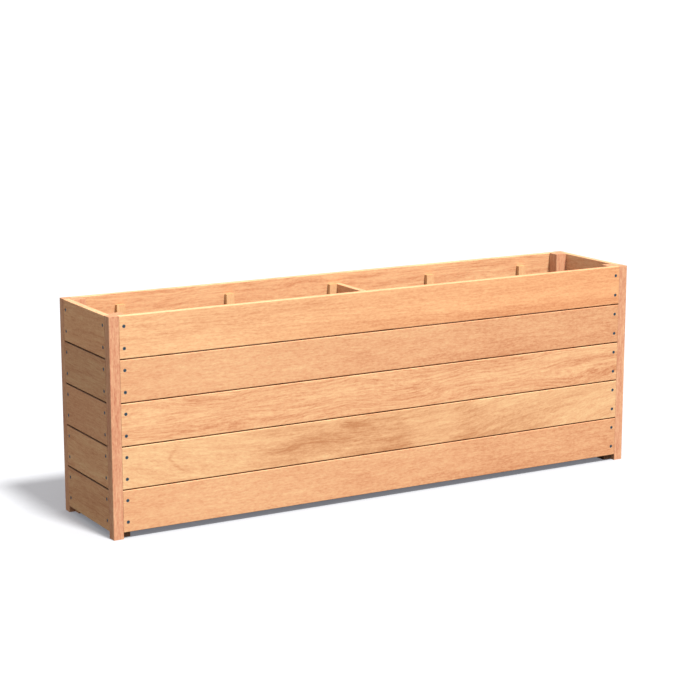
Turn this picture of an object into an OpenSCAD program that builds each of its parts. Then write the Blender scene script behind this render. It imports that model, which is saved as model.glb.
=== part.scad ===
// Slatted hardwood planter box for a street or a terrace.
//
// Five courses of boards are screwed to four rebated corner posts. Battens on
// the inside tie the courses of each long wall together, one cross board holds
// the two long walls at their distance, and a slatted floor on ledgers carries
// the soil. The posts run past the lowest boards and are the feet.
//
// Frame: the origin is at the bottom centre of the box. X runs along the
// length, Y from the front wall (-Y) to the rear wall (+Y), and Z is up.
// All lengths are millimetres.

/* [Overall] */
// Outside length of the box
length = 2000; // [1800:10:2200]
// Outside width of the box, front to rear
width = 400; // [360:5:450]
// Courses of boards in every wall
courses = 5; // [3:1:6]
// Height of the feet below the lowest boards
foot_h = 21; // [15:1:40]

/* [Boards] */
// Thickness of every board
board_t = 21; // [19:0.5:24]
// Height of a wall board, and width of a floor slat
board_h = 135; // [130:1:145]
// Open joint between two courses
board_gap = 4; // [2:0.5:8]
// Radius of the eased edges of boards and posts
ease_r = 2; // [1:0.5:3]
// Clearance between a board's end and its post
end_clear = 0.5; // [0.2:0.1:2]

/* [Posts] */
// Side of the square corner posts
post_w = 65; // [60:1:75]
// Width of post that shows beside the boards on each outer face
post_face = 34; // [30:1:38]

/* [Battens] */
// Battens inside each long wall
battens = 5; // [3:2:7]
// Width of a batten along the wall
batten_w = 30; // [25:1:40]
// Depth of a batten into the box
batten_t = 16; // [14:1:20]
// Distance from the rim down to the batten tops and the cross board
batten_drop = 36; // [20:1:60]
// Radius of the eased edges of battens and ledgers
batten_ease_r = 1.5; // [0.5:0.5:3]

/* [Floor] */
// Height of the ledgers that carry the floor
ledger_h = 30; // [25:1:32]
// Depth of the ledgers into the box
ledger_t = 20; // [18:1:25]
// Height of the ledgers above the lower edge of the lowest boards
ledger_lift = 4; // [2:1:6]
// Smallest drainage gap between two floor slats
slat_gap = 5; // [3:0.5:10]
// Clearance between the floor and the walls
floor_clear = 1.5; // [1:0.5:4]

/* [Screws] */
// Diameter of the wall screws, which hold the wall boards to the posts
wall_screw_d = 5.5; // [5:0.5:6]
// Diameter of the long screws in the cross board and the floor
long_screw_d = 4.5; // [4:0.5:5]
// Length of the wall screws and the long screws
long_screw_l = 45; // [40:5:45]
// Diameter of the short screws, in the battens and the ledgers
short_screw_d = 4; // [3.5:0.5:4.5]
// Length of the short screws
short_screw_l = 30; // [25:1:32]
// Distance of a wall screw from the outer corner of the box
screw_inset = 50; // [46:1:52]
// Distance of a wall screw above or below the middle of its board
screw_spread = 35; // [25:1:45]
// Depth of a screw head below the wood's face
screw_sink = 0.3; // [0:0.1:1]

/* [Hidden] */
height = foot_h + courses * board_h + (courses - 1) * board_gap;
wall_x = length / 2 - board_t;   // inner face of the end walls
wall_y = width / 2 - board_t;    // inner face of the long walls
batten_y = wall_y - batten_t;    // inner face of the battens
ledger_z = foot_h + ledger_lift;
slat_z = ledger_z + ledger_h;
floor_z = slat_z + board_t;
batten_top = height - batten_drop;
tie_z = batten_top - board_h / 2;
tie_x = batten_w / 2 + board_t / 2;

// Floor slats share the inner length evenly, with gaps of at least slat_gap.
floor_l = 2 * (wall_x - floor_clear);
slats = floor((floor_l + slat_gap) / (board_h + slat_gap));
slat_pitch = (floor_l - board_h) / (slats - 1);
notch_x = length / 2 - post_w - 1;
notch_y = width / 2 - post_w - 1;

hole_fit = 0.2;      // a hole is this much wider than its screw
head_rim = 0.5;      // straight rim above the cone of a screw head
ease_steps = 4;      // facets along one eased edge
eps = 1;             // overshoot of a cutting body
$fn = 32;

board_wood = [0.93, 0.70, 0.49];
post_wood = [0.88, 0.60, 0.42];
batten_wood = [0.92, 0.74, 0.50];
floor_wood = [0.85, 0.64, 0.44];
screw_steel = [0.22, 0.27, 0.35];

function numbered(name, n) = [for (i = [1 : n]) str(name, "_", i)];

// ---------------------------------------------------------------- positions

// Middle height of a course, counted from 1 at the bottom.
function course_z(k) = foot_h + board_h / 2 + (k - 1) * (board_h + board_gap);

// Middle of a batten along the wall, counted from 1 at the left.
function batten_x(i) = (i - (battens + 1) / 2) * length / battens;

// Height of the screw through a batten into course k: the middle of the length
// that the batten and the board share.
function batten_screw_z(k) =
    (max(floor_z, course_z(k) - board_h / 2)
    + min(batten_top, course_z(k) + board_h / 2)) / 2;

// Middle of a floor slat, counted from 1 at the left.
function slat_x(i) = (i - (slats + 1) / 2) * slat_pitch;

// Screws of course k in the front (side -1) or rear (side 1) wall.
module at_long_wall_screws(side, k) {
    for (x = [-1, 1], up = [-1, 1])
        translate([
            x * (length / 2 - screw_inset),
            side * width / 2,
            course_z(k) + up * screw_spread
        ])
            rotate([-side * 90, 0, 0]) children();
}

// Screws of course k in the left (side -1) or right (side 1) wall.
module at_end_wall_screws(side, k) {
    for (y = [-1, 1], up = [-1, 1])
        translate([
            side * length / 2,
            y * (width / 2 - screw_inset),
            course_z(k) + up * screw_spread
        ])
            rotate([0, side * 90, 0]) children();
}

// The screw through batten i into course k, driven from inside the box.
module at_batten_screw(side, i, k) {
    translate([batten_x(i), side * batten_y, batten_screw_z(k)])
        rotate([side * 90, 0, 0]) children();
}

// The two screws that hold the cross board to its front or rear batten.
module at_cross_board_screws(side) {
    for (up = [-1, 1])
        translate([
            batten_w / 2 + board_t,
            side * (wall_y - batten_t / 2),
            tie_z + up * 50
        ])
            rotate([0, 90, 0]) children();
}

// Screws of the ledger along the front or rear wall, one at every other slat.
module at_long_ledger_screws(side) {
    for (i = [-3 : 3])
        translate([
            i * 2 * slat_pitch,
            side * (wall_y - ledger_t),
            ledger_z + ledger_h / 2
        ])
            rotate([side * 90, 0, 0]) children();
}

// Screws of the ledger along the left or right wall.
module at_end_ledger_screws(side) {
    for (y = [-60, 60])
        translate([
            side * (wall_x - ledger_t),
            y,
            ledger_z + ledger_h / 2
        ])
            rotate([0, -side * 90, 0]) children();
}

// The four screws of floor slat i. The outer pair of an end slat goes into the
// end ledger, because the posts take the place of the long ledgers there.
module at_slat_screws(i) {
    outward = i == 1 ? -1 : i == slats ? 1 : 0;
    for (x = [-1, 1], y = [-1, 1])
        if (x == outward)
            translate([x * (wall_x - ledger_t / 2), y * 100, floor_z]) children();
        else
            translate([slat_x(i) + x * 40, y * (wall_y - ledger_t / 2), floor_z])
                children();
}

// ------------------------------------------------------------- basic shapes

// An outline of right-angled corners [x, y, r], each eased to its radius r.
function eased(corners) = [
    for (i = [0 : len(corners) - 1])
        let (
            n = len(corners),
            c = corners[i],
            p = [c.x, c.y],
            before = corners[(i + n - 1) % n],
            after = corners[(i + 1) % n],
            u = ([before.x, before.y] - p) / norm([before.x, before.y] - p),
            v = ([after.x, after.y] - p) / norm([after.x, after.y] - p),
            r = c[2]
        )
        each r == 0
            ? [p]
            : [
                for (s = [0 : ease_steps])
                    let (a = 90 * s / ease_steps)
                    p + r * (u + v) - r * (v * cos(a) + u * sin(a))
            ]
];

// An eased rectangle about the origin.
function eased_rectangle(w, h, r) = eased([
    [-w / 2, -h / 2, r], [w / 2, -h / 2, r], [w / 2, h / 2, r], [-w / 2, h / 2, r]
]);

// A length of timber along X, t thick along Y and h high along Z.
module timber_x(l, t, h, r) {
    rotate([90, 0, 90])
        linear_extrude(height = l, center = true)
            polygon(eased_rectangle(t, h, r));
}

// The same along Y, t thick along X.
module timber_y(l, t, h, r) {
    rotate([90, 0, 0])
        linear_extrude(height = l, center = true)
            polygon(eased_rectangle(t, h, r));
}

// A countersunk screw with a six-lobe drive. The wood's face is at z = 0 and
// the tip points down. The thread is left at its outer diameter.
module screw(d, l) {
    head = 2 * d;
    lobe = 0.42 * d;
    difference() {
        translate([0, 0, -screw_sink])
            rotate_extrude()
                polygon([
                    [0, 0],
                    [head / 2, 0],
                    [head / 2, -head_rim],
                    [d / 2, -head_rim - (head - d) / 2],
                    [d / 2, -l + 1.5 * d],
                    [0, -l]
                ]);
        translate([0, 0, -screw_sink - 0.45 * d])
            linear_extrude(height = d)
                polygon([
                    for (i = [0 : 11])
                        (i % 2 == 0 ? lobe : 0.74 * lobe) * [cos(30 * i), sin(30 * i)]
                ]);
    }
}

// The hole that takes that screw: its bore and its countersink.
module screw_hole(d, l) {
    head = 2 * d + hole_fit;
    bore = d + hole_fit;
    cone_top = -screw_sink - head_rim;
    translate([0, 0, -screw_sink - l - 0.5])
        cylinder(h = l + 0.5, d = bore);
    translate([0, 0, cone_top - d / 2])
        cylinder(h = d / 2, d1 = bore, d2 = head);
    translate([0, 0, cone_top])
        cylinder(h = eps - cone_top, d = head);
}

module wall_hole() screw_hole(wall_screw_d, long_screw_l);
module long_hole() screw_hole(long_screw_d, long_screw_l);
module short_hole() screw_hole(short_screw_d, short_screw_l);

// ----------------------------------------------------------------- the posts

// The corner post at side x (-1 left, 1 right) and side y (-1 front, 1 rear).
// A rebate on each outer face takes the ends of the boards, so that post and
// boards are flush.
module post(x, y) {
    outline = [
        [0, 0, ease_r],
        [post_face, 0, 0.5],
        [post_face, board_t, 0],
        [post_w, board_t, 0.5],
        [post_w, post_w, ease_r],
        [board_t, post_w, 0.5],
        [board_t, post_face, 0],
        [0, post_face, 0.5]
    ];
    placed = [
        for (c = outline) [x * (length / 2 - c.x), y * (width / 2 - c.y), c[2]]
    ];
    color(post_wood)
        difference() {
            linear_extrude(height = height) polygon(eased(placed));
            for (k = [1 : courses]) {
                at_long_wall_screws(y, k) wall_hole();
                at_end_wall_screws(x, k) wall_hole();
            }
        }
}

module post_front_left() post(-1, -1);
module post_front_right() post(1, -1);
module post_rear_left() post(-1, 1);
module post_rear_right() post(1, 1);

// ---------------------------------------------------------------- the boards

// Board k of the front (side -1) or rear (side 1) wall.
module long_board(side, k) {
    color(board_wood)
        difference() {
            translate([0, side * (width - board_t) / 2, course_z(k)])
                timber_x(length - 2 * post_face - 2 * end_clear, board_t, board_h, ease_r);
            at_long_wall_screws(side, k) wall_hole();
            for (i = [1 : battens])
                at_batten_screw(side, i, k) short_hole();
            if (k == 1)
                at_long_ledger_screws(side) short_hole();
        }
}

// Board k of the left (side -1) or right (side 1) wall.
module end_board(side, k) {
    color(board_wood)
        difference() {
            translate([side * (length - board_t) / 2, 0, course_z(k)])
                timber_y(width - 2 * post_face - 2 * end_clear, board_t, board_h, ease_r);
            at_end_wall_screws(side, k) wall_hole();
            if (k == 1)
                at_end_ledger_screws(side) short_hole();
        }
}

module front_board(k) long_board(-1, k);
module rear_board(k) long_board(1, k);
module left_board(k) end_board(-1, k);
module right_board(k) end_board(1, k);

// ----------------------------------------------- the battens and cross board

// Batten i inside the front (side -1) or rear (side 1) wall. It stands on the
// floor, and the middle one also carries an end of the cross board.
module batten(side, i) {
    color(batten_wood)
        difference() {
            translate([batten_x(i), side * (wall_y - batten_t / 2), floor_z])
                linear_extrude(height = batten_top - floor_z)
                    polygon(eased_rectangle(batten_w, batten_t, batten_ease_r));
            for (k = [1 : courses])
                at_batten_screw(side, i, k) short_hole();
            if (i == (battens + 1) / 2)
                at_cross_board_screws(side) long_hole();
        }
}

module front_batten(i) batten(-1, i);
module rear_batten(i) batten(1, i);

// The board on edge that ties the long walls together beside the middle battens.
module cross_board() {
    color(board_wood)
        difference() {
            translate([tie_x, 0, tie_z])
                timber_y(2 * wall_y - 2, board_t, board_h, ease_r);
            for (side = [-1, 1])
                at_cross_board_screws(side) long_hole();
        }
}

// ----------------------------------------------------------------- the floor

// Ledger along the front (side -1) or rear (side 1) wall, between the posts.
module long_ledger(side) {
    color(floor_wood)
        difference() {
            translate([0, side * (wall_y - ledger_t / 2), ledger_z + ledger_h / 2])
                timber_x(2 * notch_x, ledger_t, ledger_h, batten_ease_r);
            at_long_ledger_screws(side) short_hole();
            for (i = [1 : slats])
                at_slat_screws(i) long_hole();
        }
}

// Ledger along the left (side -1) or right (side 1) wall, between the posts.
module end_ledger(side) {
    color(floor_wood)
        difference() {
            translate([side * (wall_x - ledger_t / 2), 0, ledger_z + ledger_h / 2])
                timber_y(2 * notch_y, ledger_t, ledger_h, batten_ease_r);
            at_end_ledger_screws(side) short_hole();
            at_slat_screws(side < 0 ? 1 : slats) long_hole();
        }
}

module ledger_front() long_ledger(-1);
module ledger_rear() long_ledger(1);
module ledger_left() end_ledger(-1);
module ledger_right() end_ledger(1);

// Floor slat i, counted from the left. The first and the last are cut out
// around the corner posts.
module floor_slat(i) {
    color(floor_wood)
        difference() {
            translate([slat_x(i), 0, slat_z + board_t / 2])
                timber_y(2 * wall_y - 2, board_h, board_t, ease_r);
            at_slat_screws(i) long_hole();
            if (i == 1 || i == slats)
                for (y = [-1, 1])
                    translate([
                        (i == 1 ? -1 : 1) * (notch_x + post_w / 2),
                        y * (notch_y + post_w / 2),
                        slat_z + board_t / 2
                    ])
                        cube([post_w, post_w, board_t + 2 * eps], center = true);
        }
}

// ---------------------------------------------------------------- the screws

module long_wall_screws() {
    color(screw_steel)
        for (side = [-1, 1], k = [1 : courses])
            at_long_wall_screws(side, k) screw(wall_screw_d, long_screw_l);
}

module end_wall_screws() {
    color(screw_steel)
        for (side = [-1, 1], k = [1 : courses])
            at_end_wall_screws(side, k) screw(wall_screw_d, long_screw_l);
}

module batten_screws() {
    color(screw_steel)
        for (side = [-1, 1], i = [1 : battens], k = [1 : courses])
            at_batten_screw(side, i, k) screw(short_screw_d, short_screw_l);
}

module cross_board_screws() {
    color(screw_steel)
        for (side = [-1, 1])
            at_cross_board_screws(side) screw(long_screw_d, long_screw_l);
}

module ledger_screws() {
    color(screw_steel)
        for (side = [-1, 1]) {
            at_long_ledger_screws(side) screw(short_screw_d, short_screw_l);
            at_end_ledger_screws(side) screw(short_screw_d, short_screw_l);
        }
}

module floor_screws() {
    color(screw_steel)
        for (i = [1 : slats])
            at_slat_screws(i) screw(long_screw_d, long_screw_l);
}

// --------------------------------------------------------------- the drawing

post_front_left();
post_front_right();
post_rear_left();
post_rear_right();
for (k = [1 : courses]) {
    front_board(k);
    rear_board(k);
    left_board(k);
    right_board(k);
}
for (i = [1 : battens]) {
    front_batten(i);
    rear_batten(i);
}
cross_board();
ledger_front();
ledger_rear();
ledger_left();
ledger_right();
for (i = [1 : slats]) {
    floor_slat(i);
}
long_wall_screws();
end_wall_screws();
batten_screws();
cross_board_screws();
ledger_screws();
floor_screws();
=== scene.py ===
"""Looks of the planter box: oiled hardwood, dark coated screws, pale studio floor."""

import math

import bpy
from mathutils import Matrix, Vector


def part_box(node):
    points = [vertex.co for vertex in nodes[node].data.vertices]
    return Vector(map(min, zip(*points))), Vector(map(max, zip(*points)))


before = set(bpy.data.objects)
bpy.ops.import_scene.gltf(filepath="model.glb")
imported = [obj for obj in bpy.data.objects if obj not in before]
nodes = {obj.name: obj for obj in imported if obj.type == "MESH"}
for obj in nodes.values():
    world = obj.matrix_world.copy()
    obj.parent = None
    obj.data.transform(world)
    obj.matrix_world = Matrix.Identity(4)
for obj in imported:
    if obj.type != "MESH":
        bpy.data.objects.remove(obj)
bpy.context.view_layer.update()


# --------------------------------------------------------------------------
# Camera, light and floor
# --------------------------------------------------------------------------

SENSOR = 36.0  # mm
LENS = 99.156  # mm
CAMERA_AT = (-3.2772, -5.5684, 1.8017)
CAMERA_TURN = (78.3834, -0.0506, -30.2336)  # degrees

# One direction and softness for both suns: the key on the box and the floor's own
TOWARDS_KEY = (0.095, -0.50, 0.857)
KEY_ANGLE = 9  # degrees
KEY_STRENGTH = 8.35
FLOOR_KEY_STRENGTH = 6.15
SKY = (1.0, 0.97, 0.93)
SKY_STRENGTH = 0.96

FLOOR_HALF = 180.0  # from the middle of the floor to its edge
FLOOR_PAINT = (0.355, 0.362, 0.376)
FLOOR_GLOW = (0.155, 0.158, 0.178)
UNDER_DROP = 0.0005  # the darker floor lies this much lower
UNDER_PAINT = (0.055, 0.055, 0.055)


def make_camera():
    data = bpy.data.cameras.new("camera")
    data.sensor_width = SENSOR
    data.lens = LENS
    data.clip_end = 500.0
    cam = bpy.data.objects.new("camera", data)
    bpy.context.scene.collection.objects.link(cam)
    cam.location = CAMERA_AT
    cam.rotation_euler = [math.radians(a) for a in CAMERA_TURN]
    bpy.context.scene.camera = cam


def sun(name, strength, colour):
    data = bpy.data.lights.new(name, "SUN")
    data.energy = strength
    data.angle = math.radians(KEY_ANGLE)
    data.color = colour
    lamp = bpy.data.objects.new(name, data)
    bpy.context.scene.collection.objects.link(lamp)
    lamp.rotation_euler = Vector(TOWARDS_KEY).to_track_quat("Z", "Y").to_euler()
    return lamp


def link_only(lamp, obj, state):
    """The lamp lights only obj (INCLUDE), or everything but obj (EXCLUDE)."""
    group = bpy.data.collections.new(lamp.name + "_receivers")
    group.objects.link(obj)
    group.collection_objects[0].light_linking.link_state = state
    lamp.light_linking.receiver_collection = group


def plain(name, colour, glow=(0.0, 0.0, 0.0)):
    mat = bpy.data.materials.new(name)
    mat.use_nodes = True
    bsdf = mat.node_tree.nodes["Principled BSDF"]
    bsdf.inputs["Base Color"].default_value = (*colour, 1)
    bsdf.inputs["Emission Color"].default_value = (*glow, 1)
    bsdf.inputs["Emission Strength"].default_value = 1.0
    bsdf.inputs["Roughness"].default_value = 0.9
    bsdf.inputs["Specular IOR Level"].default_value = 0.0
    return mat


def plane(name, z, mat):
    mesh = bpy.data.meshes.new(name)
    s = FLOOR_HALF
    mesh.from_pydata([(-s, -s, z), (s, -s, z), (s, s, z), (-s, s, z)], [], [(0, 1, 2, 3)])
    mesh.materials.append(mat)
    obj = bpy.data.objects.new(name, mesh)
    bpy.context.scene.collection.objects.link(obj)
    obj.visible_shadow = False
    return obj


def make_studio():
    """A pale floor that is just white where its sun reaches it, and a darker one under
    it that only the box's surfaces see, so that little light comes up from below."""
    floor = plane("floor", 0.0, plain("floor_paint", FLOOR_PAINT, FLOOR_GLOW))
    floor.visible_diffuse = False
    floor.visible_glossy = False
    under = plane("floor_under", -UNDER_DROP, plain("floor_under_paint", UNDER_PAINT))
    under.visible_camera = False

    key = sun("key", KEY_STRENGTH, (1.0, 0.985, 0.96))
    link_only(key, floor, "EXCLUDE")
    floor_key = sun("floor_key", FLOOR_KEY_STRENGTH, (1.0, 0.99, 0.97))
    link_only(floor_key, floor, "INCLUDE")

    world = bpy.data.worlds.new("studio")
    bpy.context.scene.world = world
    world.use_nodes = True
    back = world.node_tree.nodes["Background"]
    back.inputs["Color"].default_value = (*SKY, 1)
    back.inputs["Strength"].default_value = SKY_STRENGTH


# --------------------------------------------------------------------------
# Node helpers
# --------------------------------------------------------------------------

class Net:
    """A material's node tree with short calls for the nodes the wood needs."""

    def __init__(self, name):
        self.mat = bpy.data.materials.new(name)
        self.mat.use_nodes = True
        self.tree = self.mat.node_tree
        self.bsdf = self.tree.nodes["Principled BSDF"]

    def _feed(self, socket, value):
        if isinstance(value, bpy.types.NodeSocket):
            self.tree.links.new(value, socket)
        else:
            socket.default_value = value

    def math(self, op, a, b=0.0, c=0.0, clamp=False):
        n = self.tree.nodes.new("ShaderNodeMath")
        n.operation = op
        n.use_clamp = clamp
        for socket, value in zip(n.inputs, (a, b, c)):
            self._feed(socket, value)
        return n.outputs[0]

    def vmath(self, op, a, b):
        n = self.tree.nodes.new("ShaderNodeVectorMath")
        n.operation = op
        self._feed(n.inputs[0], a)
        self._feed(n.inputs[1], b)
        return n.outputs[0]

    def split(self, v):
        n = self.tree.nodes.new("ShaderNodeSeparateXYZ")
        self._feed(n.inputs[0], v)
        return n.outputs[0], n.outputs[1], n.outputs[2]

    def join(self, x, y, z):
        n = self.tree.nodes.new("ShaderNodeCombineXYZ")
        for socket, value in zip(n.inputs, (x, y, z)):
            self._feed(socket, value)
        return n.outputs[0]

    def noise(self, v, scale, detail=2.0, rough=0.5):
        n = self.tree.nodes.new("ShaderNodeTexNoise")
        self._feed(n.inputs["Vector"], self.vmath("MULTIPLY", v, scale))
        n.inputs["Scale"].default_value = 1.0
        n.inputs["Detail"].default_value = detail
        n.inputs["Roughness"].default_value = rough
        return self.math("SUBTRACT", n.outputs["Fac"], 0.5)

    def noise1(self, w, scale, detail=2.0, rough=0.5):
        n = self.tree.nodes.new("ShaderNodeTexNoise")
        n.noise_dimensions = "1D"
        self._feed(n.inputs["W"], w)
        n.inputs["Scale"].default_value = scale
        n.inputs["Detail"].default_value = detail
        n.inputs["Roughness"].default_value = rough
        return self.math("SUBTRACT", n.outputs["Fac"], 0.5)

    def smooth(self, value, low, high):
        n = self.tree.nodes.new("ShaderNodeMapRange")
        n.interpolation_type = "SMOOTHSTEP"
        self._feed(n.inputs["Value"], value)
        n.inputs["From Min"].default_value = low
        n.inputs["From Max"].default_value = high
        return n.outputs["Result"]

    def mix(self, fac, a, b, blend="MIX"):
        n = self.tree.nodes.new("ShaderNodeMix")
        n.data_type = "RGBA"
        n.blend_type = blend
        self._feed(n.inputs["Factor"], fac)
        self._feed(n.inputs[6], a)
        self._feed(n.inputs[7], b)
        return n.outputs[2]

    def ramp(self, fac, stops):
        n = self.tree.nodes.new("ShaderNodeValToRGB")
        self._feed(n.inputs[0], fac)
        elements = n.color_ramp.elements
        while len(elements) < len(stops):
            elements.new(0.5)
        for e, (at, colour) in zip(elements, stops):
            e.position = at
            e.color = (*colour, 1.0)
        return n.outputs[0]

    def bump(self, height, strength, distance):
        n = self.tree.nodes.new("ShaderNodeBump")
        n.inputs["Strength"].default_value = strength
        n.inputs["Distance"].default_value = distance
        self._feed(n.inputs["Height"], height)
        self.tree.links.new(n.outputs[0], self.bsdf.inputs["Normal"])


# --------------------------------------------------------------------------
# Wood
# --------------------------------------------------------------------------

def tone_set(light, mid, dark):
    return dict(light=light, mid=mid, dark=dark)


BOARD = tone_set((0.545, 0.345, 0.180), (0.490, 0.262, 0.134), (0.385, 0.168, 0.078))
BROWN = dict(BOARD, dark=(0.382, 0.176, 0.082))
POST = tone_set((0.510, 0.285, 0.165), (0.445, 0.214, 0.122), (0.360, 0.140, 0.078))
BATTEN = tone_set((0.560, 0.370, 0.190), (0.505, 0.290, 0.145), (0.420, 0.205, 0.096))
FLOOR = tone_set((0.470, 0.290, 0.150), (0.400, 0.218, 0.110), (0.290, 0.135, 0.063))

PORE_SHADE = 0.55                # of the dark tone
END_SHADE = (0.62, 0.62, 0.25)   # of the dark tone, on end grain
FLUSH = (1.0, 0.87, 0.80)        # what a flush multiplies the colour by
# painted shade for the gaps between the boards
PAINTED_GAP_SHADE = (0.10, 0.045, 0.022)
# painted shade for the foot of the post blocks behind the boards
PAINTED_FOOT_SHADE = (0.05, 0.022, 0.010)
PAST_END = 0.43                  # how far the ramp goes on past its light and dark


def wood(node, grain, tones, seed, tone=1.0, red=0.0, wander=0.25, slope=0.0, bow=0.0,
         long=1.0, short=1.0, patch=1.0, rings=0.35, pith=(0.02, -0.12), cone=0.0,
         mottle=1.0, ring_size=16, fade=(0.0, 0.0), flush=0.0, joints=0.0, side_light=None,
         extra=None):
    """Planed hardwood whose grain runs along one axis of the box ("X", "Y" or "Z").

    tone and red shift its colour. wander, slope and bow bend the grain along the piece.
    long, short, mottle and patch weigh long streaks, short ones, specks and broad clouds.
    rings weighs the growth layers, about ring_size mm apart, around a pith at (across,
    deep) from the middle; cone tapers them, so that the face shows arches. fade darkens
    towards +u and +v, flush reddens towards +u, joints paints shade onto the top and
    bottom faces of the boards in the gaps between them, side_light tints the faces that
    look left or right with painted light, and extra adds figure of its own to one piece.
    """
    low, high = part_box(node)
    mid = (low + high) / 2
    size = high - low
    net = Net("wood_" + node)
    tex = net.tree.nodes.new("ShaderNodeTexCoord")
    x, y, z = net.split(net.vmath("SUBTRACT", tex.outputs["Object"], tuple(mid)))
    places = {"X": (x, y, z), "Y": (y, x, z), "Z": (z, x, y)}[grain]
    spans = {"X": (size.y, size.z), "Y": (size.x, size.z), "Z": (size.x, size.y)}[grain]
    # u runs along the grain, v across the wide face, w through the thickness
    u = places[0]
    v, w = (places[1], places[2]) if spans[0] > spans[1] else (places[2], places[1])
    shift = (seed * 3.71, seed * 1.93, seed * 2.57)
    here = net.vmath("ADD", net.join(u, v, w), shift)

    # the grain's wander across the face: a slow one and a tighter one
    slow = net.noise(here, (1.6, 6.0, 6.0), 1.0)
    tight = net.noise(here, (7.0, 20.0, 20.0), 1.0)
    sway = net.math("MULTIPLY_ADD", tight, 0.016 * wander,
                    net.math("MULTIPLY", slow, 0.11 * wander))
    sway = net.math("ADD", sway,
                    net.math("MULTIPLY", net.math("MULTIPLY_ADD", u, bow, slope), u))
    v_grain = net.math("ADD", v, sway)
    w_grain = net.math("ADD", w, net.math("MULTIPLY", sway, 0.5))
    flow = net.vmath("ADD", net.join(u, v_grain, w_grain), shift)

    # growth layers around the pith
    across = net.math("SUBTRACT", v_grain, pith[0])
    deep = net.math("MULTIPLY_ADD", u, cone, net.math("SUBTRACT", w_grain, pith[1]))
    radius = net.math("SQRT", net.math(
        "ADD", net.math("MULTIPLY", across, across), net.math("MULTIPLY", deep, deep)))
    layer = net.noise1(net.math("ADD", radius, seed * 0.37), 1000 / ring_size, 3.0, 0.6)

    long_streak = net.noise(flow, (2.6, 62.0, 62.0), 3.0, 0.6)
    short_streak = net.noise(flow, (12.0, 165.0, 165.0), 4.0, 0.7)
    fibre = net.noise(flow, (46.0, 950.0, 950.0), 2.0, 0.6)
    specks = net.noise(flow, (75.0, 180.0, 180.0), 2.0, 0.6)
    broad = net.noise(here, (3.0, 11.0, 11.0), 2.0, 0.55)
    cloud = net.noise(here, (19.0, 60.0, 60.0), 2.0, 0.5)

    g = net.math("MULTIPLY_ADD", layer, rings, 0.5)
    for part, weight in ((long_streak, 0.60 * long), (short_streak, 1.35 * short),
                         (fibre, 0.80), (specks, 0.80 * mottle), (broad, 0.55 * patch),
                         (cloud, 0.30 * patch), (u, fade[0]), (v, fade[1])):
        g = net.math("MULTIPLY_ADD", part, weight, g)
    if extra:
        g = net.math("ADD", g, extra(net, u, v, v_grain))

    def toned(colour):
        return (colour[0] * tone * (1 + 0.15 * red), colour[1] * tone * (1 - red),
                colour[2] * tone * (1 - 0.9 * red))

    light, middle, dark = (toned(tones[name]) for name in ("light", "mid", "dark"))
    paler = [a + PAST_END * (a - b) for a, b in zip(light, middle)]
    deeper = [a + PAST_END * (a - b) for a, b in zip(dark, middle)]
    stops = [(0.0, paler), (0.15, light), (0.5, middle), (0.85, dark), (1.0, deeper)]
    colour = net.ramp(net.math("MULTIPLY_ADD", g, 0.7, 0.15), stops)

    # short dark pores, and end grain that drinks the oil and turns darker
    pore = net.smooth(net.noise(flow, (70.0, 1300.0, 1300.0), 1.0), 0.12, 0.22)
    colour = net.mix(net.math("MULTIPLY", pore, 0.30), colour,
                     (*[c * PORE_SHADE * tone for c in tones["dark"]], 1.0))
    facing = net.split(tex.outputs["Normal"])["XYZ".index(grain)]
    end = net.smooth(net.math("ABSOLUTE", facing), 0.5, 0.95)
    end_tone = [c * f * tone for c, f in zip(tones["dark"], END_SHADE)]
    colour = net.mix(net.math("MULTIPLY", end, 0.42), colour, (*end_tone, 1.0))
    if flush:
        colour = net.mix(net.math("MULTIPLY", net.smooth(u, -1.1, 1.0), flush), colour,
                         (*FLUSH, 1.0), "MULTIPLY")
    if joints:
        # painted shade: the top and bottom faces of the boards below the rim, in the gaps
        # between them, are darkened where shade falls
        up = net.split(tex.outputs["Normal"])[2]
        edge = net.math("ADD", net.smooth(up, 0.02, 0.50), net.smooth(up, -0.35, -0.90))
        # not on the rim, whose top edge is open to the light
        below = net.smooth(net.split(tex.outputs["Object"])[2], 0.700, 0.690)
        inside = net.math("MULTIPLY", net.math("MULTIPLY", edge, below), joints)
        colour = net.mix(inside, colour, (*PAINTED_GAP_SHADE, 1.0))
    if side_light:
        # painted light: the faces that look left or right are multiplied lighter and
        # tinted, standing in for light falling on them
        sideways = net.math("ABSOLUTE", net.split(tex.outputs["Normal"])[0])
        colour = net.mix(net.smooth(sideways, 0.6, 0.9), colour, (*side_light, 1.0), "MULTIPLY")
    if tones is POST:
        # painted shade: the block behind the boards is darkened nearly to black towards
        # its foot, where shade falls under the boards
        px, py, pz = net.split(tex.outputs["Object"])
        foot = net.math("MULTIPLY", net.smooth(net.math("ABSOLUTE", px), 0.969, 0.965),
                        net.smooth(net.math("ABSOLUTE", py), 0.182, 0.178))
        foot = net.math("MULTIPLY", foot, net.smooth(pz, 0.060, 0.025))
        colour = net.mix(net.math("MULTIPLY", foot, 0.8), colour, (*PAINTED_FOOT_SHADE, 1.0))
    net.tree.links.new(colour, net.bsdf.inputs["Base Color"])
    net.tree.links.new(
        net.math("MULTIPLY_ADD", net.math("ADD", fibre, short_streak), 0.22, 0.55),
        net.bsdf.inputs["Roughness"])
    net.bsdf.inputs["Specular IOR Level"].default_value = 0.25
    net.bump(net.math("SUBTRACT", net.math("ADD", fibre, short_streak),
                      net.math("MULTIPLY", pore, 0.6)), 0.30, 0.0004)
    obj = nodes[node]
    obj.data.materials.clear()
    obj.data.materials.append(net.mat)


def band(net, value, centre, half):
    """1 at the centre of a band across the board, falling smoothly to 0 at its edges."""
    away = net.math("ABSOLUTE", net.math("SUBTRACT", value, centre))
    return net.smooth(away, half, 0.0)


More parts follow.
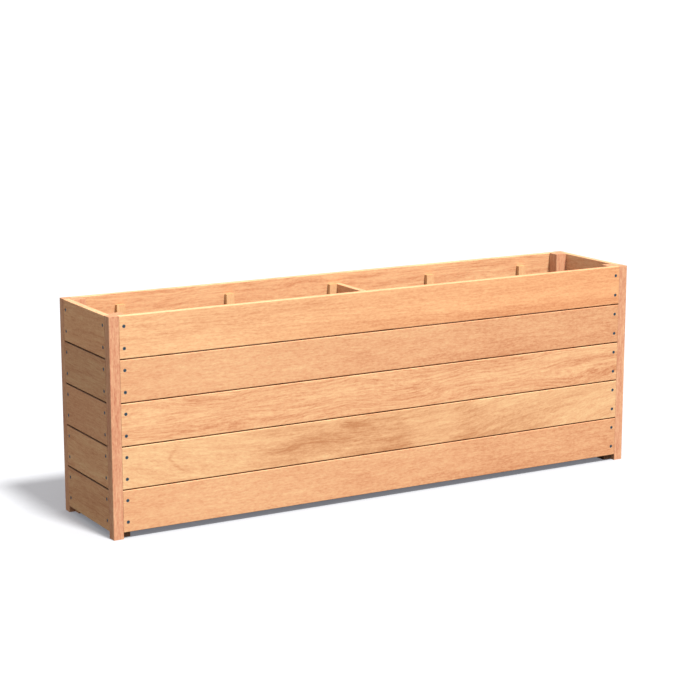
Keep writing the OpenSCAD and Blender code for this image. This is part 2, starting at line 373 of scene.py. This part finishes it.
def hump(net, value, a, b, c, d):
    """0 before a, 1 from b to c, 0 after d."""
    return net.math("MULTIPLY", net.smooth(value, a, b), net.smooth(value, d, c))


def weigh(net, parts):
    """The sum of value times weight."""
    total = 0.0
    for value, weight in parts:
        total = net.math("MULTIPLY_ADD", value, weight, total)
    return total


def top_board(net, u, v, v_grain):
    """A faint redder band along the lower third from the middle on, and a light one above
    it."""
    on = net.smooth(u, -0.7, 0.3)
    low = net.math("MULTIPLY", net.smooth(v_grain, -0.012, -0.045), on)
    light = net.math("MULTIPLY", band(net, v_grain, -0.004, 0.034), on)
    corner = net.math("MULTIPLY", net.smooth(v, -0.010, -0.050),
                      net.smooth(u, -0.45, -0.75))
    return weigh(net, [(low, 0.16), (light, -0.13), (corner, -0.16)])


def streaky_board(net, u, v, v_grain):
    """Long thin reddish flames that rise gently to the right, and a darker line that does
    the same low on the left."""
    line = net.math("MULTIPLY_ADD", u, -0.035, v_grain)
    on = net.smooth(u, -0.30, 0.25)
    thin = net.noise(net.join(u, line, 7.1), (2.2, 120.0, 1.0), 3.0, 0.65)
    wide = net.noise(net.join(u, line, 4.7), (1.0, 38.0, 1.0), 2.0, 0.5)
    flames = net.math("MULTIPLY", net.math("ADD", thin, wide), on)
    light = net.math("MULTIPLY", band(net, line, -0.020, 0.024), net.smooth(u, 0.0, 0.4))
    broken = net.noise(net.join(u, v, 1.9), (9.0, 60.0, 1.0), 2.0, 0.6)
    rising = net.math("ADD", net.math("MULTIPLY_ADD", u, -0.075, v),
                      net.math("MULTIPLY", broken, 0.020))
    left = net.math("MULTIPLY", band(net, rising, 0.008, 0.007),
                    hump(net, u, -0.92, -0.80, -0.60, -0.40))
    return weigh(net, [(flames, 0.75), (light, -0.20), (left, 0.30)])


def arched_board(net, u, v, v_grain):
    """A flat-sawn board: light at both ends, browner and cloudy around the middle, and
    one thin darker arch near the left end."""
    cloud = net.noise(net.join(u, v_grain, 3.3), (3.6, 24.0, 1.0), 3.0, 0.62)
    brown = net.math("ADD", hump(net, u, -0.56, -0.32, 0.04, 0.13),
                     net.math("MULTIPLY", hump(net, u, 0.22, 0.34, 0.42, 0.78), 0.85))
    low = net.math("MULTIPLY", brown, v)
    blot = net.math("MULTIPLY", cloud, net.math("ADD", brown, 0.25))
    pale = net.math("ADD", net.smooth(u, -0.40, -0.80), net.smooth(u, 0.55, 1.0))
    # the arch opens to the right and its lower end runs out along the grain
    du = net.math("DIVIDE", net.math("ADD", u, 0.690), 0.105)
    dv = net.math("DIVIDE", net.math("SUBTRACT", v, 0.014), 0.060)
    ring = net.math("SQRT", net.math("ADD", net.math("MULTIPLY", du, du),
                                     net.math("MULTIPLY", dv, dv)))
    uneven = net.noise(net.join(u, v, 8.3), (14.0, 30.0, 1.0), 2.0, 0.5)
    ring = net.math("MULTIPLY_ADD", uneven, 0.35, ring)
    arch = net.math("MULTIPLY", band(net, ring, 1.0, 0.13), net.smooth(u, -0.66, -0.76))
    arch = net.math("MULTIPLY", arch, net.smooth(v, 0.075, 0.010))
    return weigh(net, [(brown, 0.22), (low, -1.9), (blot, 1.8), (pale, -0.17),
                       (arch, 0.34)])


CALM = dict(wander=0.30, long=0.5, short=0.65, mottle=1.35, patch=1.2, rings=0.15,
            red=0.035)
WAVY = dict(wander=1.1, long=1.7, short=1.5, patch=0.8, rings=0.55, red=0.02)
CONED = dict(wander=0.4, long=1.1, rings=0.5, cone=0.12, pith=(0.01, -0.05))
PLAIN = dict(wander=0.3, long=0.8, patch=0.9, rings=0.3)

# the figure that front boards 1 and 4 share
TWIN = dict(seed=24, tone=0.975, fade=(0.12, -0.7), **CALM)

FRONT = {
    5: dict(seed=25, tone=1.065, red=-0.02, wander=0.22, slope=0.012, long=0.9, short=0.9,
            mottle=1.15, patch=0.5, rings=0.30, flush=1.0, extra=top_board),
    4: TWIN,
    3: dict(seed=23, tone=1.0, slope=-0.02, bow=-0.022, mottle=1.2, fade=(0.07, 0.0),
            extra=streaky_board, **WAVY),
    2: dict(seed=22, tone=1.015, red=-0.035, wander=0.7, long=1.3, short=0.9, patch=0.5,
            rings=0.5, pith=(0.022, -0.060), cone=0.13, ring_size=24, slope=-0.02,
            bow=-0.085, extra=arched_board),
    1: TWIN,
}

LEFT = {
    # the side tint of board 5 is painted light on its faces that look left or right
    5: dict(tone=0.98, side_light=(1.15, 1.15, 1.14), **CONED),
    4: dict(tone=0.97, wander=0.5, long=1.4, short=1.3, patch=1.2, rings=0.3,
            fade=(0.0, 1.2)),
    3: dict(tone=1.04, **CALM),
    2: dict(tone=1.09, wander=0.8, long=1.4, short=1.3, rings=0.6),
    1: dict(tone=1.02, wander=0.4, long=1.1, patch=1.8, rings=0.4),
}


# tone, redness and side tint of each post; the side tint is painted light on the faces
# that look left or right
POSTS = {
    "front_left": (1.0, 0.0, (1.08, 1.16, 1.15)),
    "front_right": (1.05, -0.03, (1.06, 1.13, 1.12)),
    "rear_left": (1.0, 0.0, (1.06, 1.13, 1.12)),
    "rear_right": (1.02, -0.035, (1.14, 1.20, 1.26)),
}


def wood_all():
    for i, (corner, (tone, red, side_light)) in enumerate(POSTS.items()):
        wood(f"post_{corner}", "Z", POST, 11 + i, tone=tone, red=red, side_light=side_light,
             wander=0.25, long=0.9, short=1.6, mottle=1.6, patch=0.8, rings=0.3,
             pith=(0.09, -0.11))
    # the side tints below are painted light on the faces that look left or right
    kinds = [CALM, WAVY, CONED, PLAIN]
    for k in range(1, 6):
        wood(f"front_board_{k}", "X", BROWN if k == 2 else BOARD, **FRONT[k])
        wood(f"rear_board_{k}", "X", BOARD, 30 + k, joints=0.6,
             **(WAVY if k == 5 else kinds[k % 4]))
        wood(f"left_board_{k}", "Y", BOARD, 40 + k, joints=0.85, **LEFT[k])
        wood(f"right_board_{k}", "Y", BOARD, 50 + k, joints=0.85,
             side_light=(1.18, 1.26, 1.38), **kinds[(k + 2) % 4])
        for j, side in enumerate(("front", "rear")):
            wood(f"{side}_batten_{k}", "Z", BATTEN, 60 + 5 * j + k, wander=0.2, patch=0.5,
                 side_light=(1.04, 1.14, 1.18))
    wood("cross_board", "Y", BOARD, 71, wander=0.4, side_light=(1.12, 1.10, 1.14))
    for j, side in enumerate(("front", "rear")):
        wood(f"ledger_{side}", "X", FLOOR, 72 + j)
    for j, side in enumerate(("left", "right")):
        wood(f"ledger_{side}", "Y", FLOOR, 74 + j)
    for k in range(1, 15):
        wood(f"floor_slat_{k}", "Y", FLOOR, 80 + k, tone=1.0 + 0.06 * math.sin(2.3 * k),
             **kinds[k % 4])


# --------------------------------------------------------------------------
# Screws
# --------------------------------------------------------------------------

def screw_metal(name, tone):
    """Dark blue-grey coating on steel, a little uneven, with fine turning marks."""
    net = Net(name)
    tex = net.tree.nodes.new("ShaderNodeTexCoord").outputs["Object"]
    patchy = net.noise(tex, (900.0, 900.0, 900.0), 3.0, 0.6)
    speck = net.noise(tex, (4200.0, 4200.0, 4200.0), 2.0, 0.5)
    g = net.math("MULTIPLY_ADD", speck, 0.5, net.math("MULTIPLY_ADD", patchy, 0.9, 0.5))
    colour = net.ramp(g, [(0.2, [tone * c for c in (0.065, 0.108, 0.152)]),
                          (0.8, [tone * c for c in (0.117, 0.176, 0.228)])])
    net.tree.links.new(colour, net.bsdf.inputs["Base Color"])
    net.tree.links.new(net.math("MULTIPLY_ADD", patchy, 0.35, 0.40),
                       net.bsdf.inputs["Roughness"])
    net.bsdf.inputs["Metallic"].default_value = 0.75
    net.bump(speck, 0.25, 0.0001)
    return net.mat


def screws_all():
    dark = screw_metal("screw_coating", 1.0)
    # painted reflection: the screws on the shaded end walls get a lighter copy of the
    # coating, standing in for the brighter sky their heads reflect
    painted_reflection = screw_metal("screw_coating_painted_reflection", 1.35)
    for name in ("long_wall_screws", "end_wall_screws", "batten_screws",
                 "cross_board_screws", "ledger_screws", "floor_screws"):
        obj = nodes[name]
        obj.data.materials.clear()
        obj.data.materials.append(painted_reflection if name == "end_wall_screws" else dark)


make_camera()
make_studio()
wood_all()
screws_all()

bpy.context.scene.view_settings.view_transform = "Standard"
bpy.context.scene.view_settings.look = "None"
